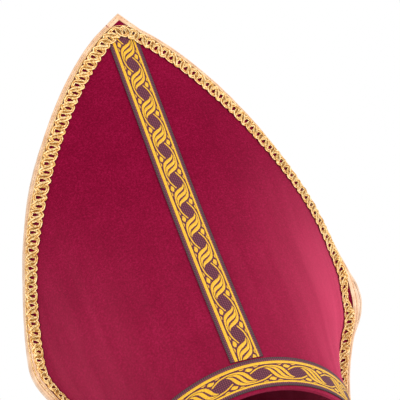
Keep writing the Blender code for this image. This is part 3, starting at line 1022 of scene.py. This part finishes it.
def braid_cords(line, side, rng):
    """The braid's cords laid flat: two bundles loop from side to side, over and under each
    other, their cords drawn together in the loops and fanned out where they cross. A
    single cord runs along the outer edge."""
    periods = line.length / BRAID_PERIOD
    turns = np.linspace(0.0, periods, round(periods * STEPS_IN_PERIOD))
    along = BRAID_PERIOD * turns
    flat_lift = FELT / 2 + GAP + CORD_RADIUS
    middle, climb = line.at(along, 0.0)
    on_left = middle < 0
    narrowed = near(climb, NARROW_HEIGHT, NARROW_HALF) * on_left * (side == FRONT)
    lap = np.where(on_left, braid_lap(climb, LEFT), braid_lap(climb, RIGHT))
    width = (BRAID_WIDTH + lap) / WIDEST_BRAID * (1.0 - NARROWING * narrowed)
    spread = 1.0 + TURN_SPREADS * near(along, line.length / 2, TURN_HALF)
    spread = spread + NARROW_SPREADS * narrowed
    edge_cord = np.full_like(along, BRAID_SWING + EDGE_CORD_OUT)
    routes = [(along, edge_cord, flat_lift + EDGE_CORD_LIFT)]
    boldness = [MIDDLE_CORD]
    for bundle, wave in ((BROAD_BUNDLE, broad_wave), (POINTED_BUNDLE, pointed_wave)):
        angle = 2 * math.pi * (turns + bundle["turn"])
        swing = BRAID_SWING * bundle["reach"] * wave(angle)
        heading = np.arctan2(np.gradient(swing), np.gradient(along))
        drawn = np.minimum(np.abs(swing / BRAID_SWING), 1.0) ** DRAWING_IN
        over = CROSSING_LIFT * (0.5 + 0.5 * np.cos(angle))
        for number in range(CORDS_IN_BUNDLE):
            sway = rng.normal(size=math.ceil(periods * SWAYS_IN_PERIOD) + 2)
            loose = SWAY * np.interp(turns * SWAYS_IN_PERIOD, np.arange(len(sway)), sway)
            from_middle = number - (CORDS_IN_BUNDLE - 1) / 2
            offset = from_middle * blend(CROSSING_SPACING * spread, LOOP_SPACING, drawn) + loose
            rounding = BUNDLE_ROUNDING * (1 - (from_middle / CORDS_IN_BUNDLE * 2) ** 2)
            outward = swing + offset * np.cos(heading)
            distance = along - offset * np.sin(heading) + SLANT * outward
            routes.append((distance, outward * width, flat_lift + over + rounding))
            at_side = number in (0, CORDS_IN_BUNDLE - 1)
            boldness.append(SIDE_CORD if at_side else MIDDLE_CORD)
    cords = []
    for distance, outward, lift in routes:
        across, heights = line.at(distance, -outward)
        over_tape = LAP_LIFT * smooth(LAP_STARTS, BRAID_SWING, outward)
        over_ribbon = RIBBON_LIFT * smooth(RIBBON_LIFT_STARTS, RIBBON_LIFT_FULL, np.abs(across))
        cord = np.stack([across, heights, lift + np.maximum(over_tape, over_ribbon)], axis=1)
        on_line = (distance > 0) & (distance < line.length)
        cords.append(cord[on_line & (above_band(across, heights, side) > CORD_RADIUS)])
    return cords, boldness


def make_braid(name, side, tree, finish):
    """The gimp braid inside the binding, each side's cords swaying in their own way."""
    rng = np.random.default_rng(BRAID_SEED[side])
    cords, boldness = braid_cords(Line(*braid_path(CELL, side)), side, rng)
    mesh = grow(edge_mesh(name, cords, boldness), tree, {
        "Cord Radius": CORD_RADIUS, "Sides": 5, "Seed": 7, "Finish": finish,
    })
    return show(name + "_gimp", bent(mesh, side), None, name)


# ----------------------------------------------------------------------- woven ribbon
# One repeat of the ribbon's pattern, in millimetres from the middle of the crossing between
# two discs: to the right, up along the ribbon, and the strand's width. All but the middle
# strand are woven twice, the second turned half round. The crossings lie a little to the
# right of the ribbon's middle.
REPEAT = 28.0
CROSSING_RIGHT = 0.66
TWINING_STRAND = (
    (4.21, 10.07, 0.3), (3.74, 8.27, 1.0), (2.59, 6.48, 1.9), (0.86, 5.26, 2.5),
    (-1.05, 4.03, 2.7), (-2.97, 2.57, 2.6), (-4.31, 0.67, 2.0), (-5.08, -1.35, 1.4),
    (-5.56, -3.8, 1.1), (-5.84, -6.48, 0.95), (-5.80, -8.95, 0.95), (-5.46, -11.18, 1.0),
    (-4.89, -14.54, 1.0), (-3.93, -16.98, 1.0), (-2.78, -19.26, 1.0), (-1.72, -21.12, 0.9),
)
MIDDLE_STRAND = (
    (-4.8, -8.7, 0.4), (-4.7, -6.73, 0.7), (-4.21, -4.45, 1.2), (-3.45, -2.68, 2.0),
    (-2.2, -1.35, 2.6), (0.0, 0.0, 2.7), (2.2, 1.35, 2.6), (3.45, 2.68, 2.0),
    (4.21, 4.45, 1.2), (4.7, 6.73, 0.7), (4.8, 8.7, 0.4),
)
LEAF = (
    (-5.27, 9.62, 0.4), (-4.85, 7.97, 2.3), (-4.95, 6.63, 2.9), (-5.05, 5.38, 2.2),
    (-4.69, 4.25, 0.4),
)
HIGH_TOOTH = (
    (-6.9, 14.5, 0.2), (-6.55, 12.84, 0.7), (-6.4, 11.8, 0.9), (-6.6, 11.18, 0.6),
    (-6.9, 10.56, 0.2),
)
LOW_TOOTH = (
    (-6.9, 3.93, 0.2), (-6.5, 2.69, 0.7), (-6.35, 2.01, 0.9), (-6.5, 1.24, 0.7), (-6.9, 0.1, 0.2),
)
# The border lines' left and right edges.
LINES = ((-8.95, -6.7), (7.75, 9.2))
LINE_POINTS = 9
# A float's cut, flat below and domed above: share of its width, and of its rise.
FLOAT_CUT = ((-0.5, 0.0), (-0.42, 0.8), (0.0, 1.0), (0.42, 0.8), (0.5, 0.0))
FLOAT_RISE = 0.16
FLOAT_SINKS = 0.02 * MM
# The middle of one disc, in millimetres along each ribbon: below the arch's top on the
# upright ribbon, and to the right of the middle line on the band.
RIBBON_DISC = -46.85
BAND_DISC = 5.0
# The ribbon's cloth: the selvedges stand up a little and end in a rounded side.
RIBBON_COLUMNS = 12
SELVEDGE_ROUND = 0.65 * MM
SELVEDGE_RISE = 0.12 * MM
SELVEDGE_MIDDLE, SELVEDGE_HALF = 11.6 * MM, 0.7 * MM
FLOATS_END_INSIDE = 0.1 * MM
# The upright ribbon drifts to the right between two heights, and ends under the braid, whose
# arch has this slope there.
RIBBON_DRIFT = 0.9 * MM
DRIFT_STARTS, DRIFT_FULL = 0.12, 0.30
ARCH_SLOPE = math.radians(42)


def float_rings(middles, sideways):
    """A float's rings across its middle line; sideways reaches over its whole width."""
    return np.stack([
        np.column_stack([middles + sideways * share, np.full(len(middles), FLOAT_RISE * rise)])
        for share, rise in FLOAT_CUT
    ], axis=1)


def strand_rings(rows, half_turn):
    """A strand's rings: its rows are smoothed, and turned half round for the second weave."""
    rows = np.array(rows)
    if half_turn:
        rows = rows * [-1, -1, 1]
    marks = np.arange(len(rows))
    fine = np.linspace(0, len(rows) - 1, 2 * len(rows) - 1)
    rounded = np.stack([cubic(marks, rows[:, i], fine) for i in range(3)], axis=1)
    heading = np.gradient(rounded[:, :2], axis=0)
    heading /= np.linalg.norm(heading, axis=1, keepdims=True)
    sideways = np.stack([-heading[:, 1], heading[:, 0]], axis=1)
    return float_rings(rounded[:, :2], sideways * rounded[:, 2:]) + [CROSSING_RIGHT, 0.0, 0.0]


def cubic(marks, values, fine):
    """Smooth values through evenly spaced marks."""
    slopes = np.gradient(values)
    start = np.clip(np.floor(fine).astype(int), 0, len(marks) - 2)
    t = fine - start
    return (
        (2 * t**3 - 3 * t**2 + 1) * values[start] + (t**3 - 2 * t**2 + t) * slopes[start]
        + (3 * t**2 - 2 * t**3) * values[start + 1] + (t**3 - t**2) * slopes[start + 1]
    )


def repeat_mesh():
    """One repeat of the pattern's floats, in metres."""
    strands = [
        strand_rings(rows, turned)
        for rows in (TWINING_STRAND, LEAF, HIGH_TOOTH, LOW_TOOTH) for turned in (False, True)
    ]
    strands.append(strand_rings(MIDDLE_STRAND, False))
    up = np.linspace(-REPEAT / 2, REPEAT / 2, LINE_POINTS)
    for left, right in LINES:
        middles = np.column_stack([np.full(LINE_POINTS, (left + right) / 2), up])
        strands.append(float_rings(middles, np.array([right - left, 0.0])))
    points, faces = [], []
    for rings in strands:
        start = len(points)
        points += rings.reshape(-1, 3).tolist()
        faces += [tuple(i + start for i in face) for face in tube_faces(*rings.shape[:2])]
    return make_mesh("ribbon_repeat", np.array(points) * MM, faces)


class Upright:
    """The ribbon up the middle: v runs up to the arch's top, which is 0."""

    def __init__(self):
        self.heights = np.linspace(0.0, ARCH_TOP, UPRIGHT_SAMPLES)
        middle = cloth(0.0, self.heights)
        steps = np.linalg.norm(np.diff(middle, axis=0), axis=1)
        self.along = np.concatenate([[0.0], np.cumsum(steps)])
        self.along -= self.along[-1]

    def place(self, points):
        """Cloth places of flat points on the ribbon."""
        heights = np.interp(points[:, 1], self.along, self.heights)
        drift = RIBBON_DRIFT * smooth(DRIFT_STARTS, DRIFT_FULL, heights)
        return points[:, 0] + drift, heights, points[:, 2]


def level_band(side):
    """The ribbon round the foot: v runs to the viewer's right, and the left edge is on top."""

    def place(points):
        across = points[:, 1]
        share = across / reach(np.full_like(across, BAND_RISE / 2))
        low = foot(np.clip(share, -1, 1), side)
        rise = blend(HEM, BAND_RISE, 0.5 - points[:, 0] / RIBBON_WIDTH)
        return across, low + rise, points[:, 2]

    return place


def trim(mesh, low, high):
    """Cut a flat ribbon's mesh straight across at both ends, and close the cuts."""
    cutter = bmesh.new()
    cutter.from_mesh(mesh)
    for at, towards in ((low, -1), (high, 1)):
        result = bmesh.ops.bisect_plane(
            cutter, geom=cutter.verts[:] + cutter.edges[:] + cutter.faces[:], dist=1e-7,
            plane_co=(0, at, 0), plane_no=(0, towards, 0), clear_outer=True,
        )
        rim = [e for e in result["geom_cut"] if isinstance(e, bmesh.types.BMEdge)]
        bmesh.ops.holes_fill(cutter, edges=rim)
    cutter.to_mesh(mesh)
    cutter.free()


def ribbon_cloth(name, low, high):
    """The ribbon's ground laid flat, between two distances along it."""
    u = np.linspace(-0.5, 0.5, RIBBON_COLUMNS + 1) * (RIBBON_WIDTH - 2 * SELVEDGE_ROUND)
    v = np.linspace(low, high, round((high - low) / CELL) + 1)
    across, along = np.meshgrid(u, v)
    hem = SELVEDGE_RISE * near(np.abs(across), SELVEDGE_MIDDLE, SELVEDGE_HALF)
    top = np.stack([across, along, RIBBON_THICKNESS + hem], axis=-1)
    under = np.stack([across, along, np.zeros_like(across)], axis=-1)
    flat = np.stack([across, along], axis=-1)
    faces = slab_faces(*across.shape)
    return make_mesh(name, np.stack([top, under]), faces, np.stack([flat, flat]))


def make_ribbon(name, side, disc, low, high, place, tree, one_repeat, finishes):
    """Ground and floats of a stretch of ribbon, with the middle of one of its pattern's
    discs at a place along it, in millimetres."""
    ground_finish, float_finish = finishes
    first = (disc - REPEAT / 2) * MM
    count = math.ceil((high - low) / (REPEAT * MM)) + 2
    start = first - math.ceil((first - low) / (REPEAT * MM)) * REPEAT * MM
    ground = ribbon_cloth(name + "_ground", low, high)
    floats = grow(one_repeat.copy(), tree, {
        "Repeats": count, "First": start, "Repeat Length": REPEAT * MM, "Finish": float_finish,
    })
    trim(floats, low + FLOATS_END_INSIDE, high - FLOATS_END_INSIDE)
    set_flat(floats, points_of(floats)[:, :2])
    lifted(floats, RIBBON_THICKNESS - FLOAT_SINKS)
    for mesh in (ground, floats):
        bent(lifted(mesh, FELT / 2 + GAP), side, place)
    return [
        show(name + "_ground", ground, ground_finish, name),
        show(name + "_floats", floats, None),
    ]


# --------------------------------------------------------------------- put it together
def dress():
    """Make every piece: each shield's felt and its trimmings, and the front's tack."""
    felt, gold = crimson_felt(), gold_gimp()
    satins = {
        FRONT: satin_tape("peach woven satin tape", ("#BE9672", "#CCA886", "#D8BA9C")),
        BACK: satin_tape("cream woven satin tape", ("#BEA086", "#CCB29A", "#D8C4B0")),
    }
    finishes = ribbon_ground(), ribbon_floats()
    sewing = thread("fawn sewing thread", "#C8A07A")
    cords, stitches, repeats = cord_tree(), stitch_tree(), repeat_tree()
    one_repeat = repeat_mesh()
    upright = Upright()
    make_tack(FRONT, cords, thread("red tacking thread", "#A8203C", "#701828"))
    for word, side in SIDES.items():
        panel = make_panel(word + "_panel", side, felt)
        sewn_on = [
            make_binding(word + "_binding", side, satins[side]),
            make_stitches(word + "_binding_stitches", side, stitches, sewing),
            make_braid(word + "_braid", side, cords, gold),
        ]
        low_height = foot(np.zeros(1), side)[0] + BAND_RISE + GAP
        low = np.interp(low_height, upright.heights, upright.along)
        high = -(TAPE_WIDTH + BRAID_WIDTH * 0.5) / math.sin(ARCH_SLOPE)
        sewn_on += make_ribbon(
            word + "_ribbon", side, RIBBON_DISC, low, high, upright.place,
            repeats, one_repeat, finishes,
        )
        end = reach(BAND_RISE / 2) - TAPE_WIDTH - 2 * GAP
        sewn_on += make_ribbon(
            word + "_band", side, BAND_DISC, -end, end, level_band(side),
            repeats, one_repeat, finishes,
        )


FLOOR_HALF = 40.0


def pale_floor():
    """A broad board, painted nearly white: matt, and even but for a faint mottling."""
    finish, tree, shader = new_material("pale painted board", {"Roughness": 0.8})
    place = add_node(tree, "ShaderNodeTexCoord").outputs["Object"]
    # The paint's mottling is about 40 mm wide.
    mottling = add_node(tree, "ShaderNodeTexNoise", {"Vector": place, "Scale": 1 / (40 * MM)})
    paint = add_node(tree, "ShaderNodeValToRGB", {"Fac": mottling}, ramp=(
        (0.3, "#FAF9F8"), (0.7, "#FCFCFB"),
    ))
    fill(tree, shader, {"Base Color": paint})
    corners = [
        (x * FLOOR_HALF, y * FLOOR_HALF, 0.0) for x, y in ((-1, -1), (1, -1), (1, 1), (-1, 1))
    ]
    mesh = bpy.data.meshes.new("floor")
    mesh.from_pydata(corners, [], [(0, 1, 2, 3)])
    mesh.materials.append(finish)
    floor = bpy.data.objects.new("floor", mesh)
    bpy.context.scene.collection.objects.link(floor)


# The columns are the light's name, its place, the point that it faces, its width, its power
# in watts and its colour.
LIGHTS = (
    ("key", (1.0, -1.4, 0.45), (0.0, 0.0, 0.12), 0.8, 18.0, "#FFF6F2"),
    ("fill", (-0.8, -0.9, 0.22), (-0.05, 0.0, 0.08), 0.4, 5.0, "#FFF4EC"),
)


def light(name, place, target, size, power, code):
    """A soft square light that faces a point."""
    lamp = bpy.data.lights.new(name, "AREA")
    lamp.size = size
    lamp.energy = power
    lamp.color = tone(code)[:3]
    shown = bpy.data.objects.new(name, lamp)
    shown.location = place
    shown.rotation_euler = (Vector(target) - Vector(place)).to_track_quat("-Z", "Y").to_euler()
    bpy.context.scene.collection.objects.link(shown)


def studio():
    """White surroundings, a key light from the right and a weaker fill from the left."""
    world = bpy.data.worlds.new("white studio")
    world.use_nodes = True
    fill(world.node_tree, world.node_tree.nodes["Background"], {
        "Color": (1.0, 1.0, 1.0, 1.0), "Strength": 1.0,
    })
    bpy.context.scene.world = world
    for row in LIGHTS:
        light(*row)
    bpy.context.scene.view_settings.view_transform = "Standard"


# The photograph is 400 pixels wide, taken from low down, with the camera a little rolled.
PICTURE = 400
CAMERA_TARGET = Vector((0.02214, -SEAM_FORWARD, 0.21246))
CAMERA_AZIMUTH = math.radians(-17.967)
CAMERA_HEIGHT = 0.012
CAMERA_DISTANCE = 1.18082
CAMERA_ROLL = math.radians(13.889)
FOCAL_PIXELS = 1545.87
SENSOR = 36.0


def photo_camera():
    """The camera that took the photograph, as it was fitted to the hat's outline."""
    data = bpy.data.cameras.new("photo camera")
    data.sensor_width = SENSOR
    data.lens = FOCAL_PIXELS / PICTURE * SENSOR
    data.clip_start, data.clip_end = 0.05, 100.0
    rise = math.asin((CAMERA_HEIGHT - CAMERA_TARGET.z) / CAMERA_DISTANCE)
    back = Vector((
        math.sin(CAMERA_AZIMUTH) * math.cos(rise), -math.cos(CAMERA_AZIMUTH) * math.cos(rise),
        math.sin(rise),
    ))
    camera = bpy.data.objects.new("photo camera", data)
    aim = (-back).to_track_quat("-Z", "Y").to_matrix().to_4x4()
    roll = Matrix.Rotation(-CAMERA_ROLL, 4, "Z")
    camera.matrix_world = Matrix.Translation(CAMERA_TARGET + back * CAMERA_DISTANCE) @ aim @ roll
    bpy.context.scene.collection.objects.link(camera)
    bpy.context.scene.camera = camera


photo_camera()
dress()
pale_floor()
studio()
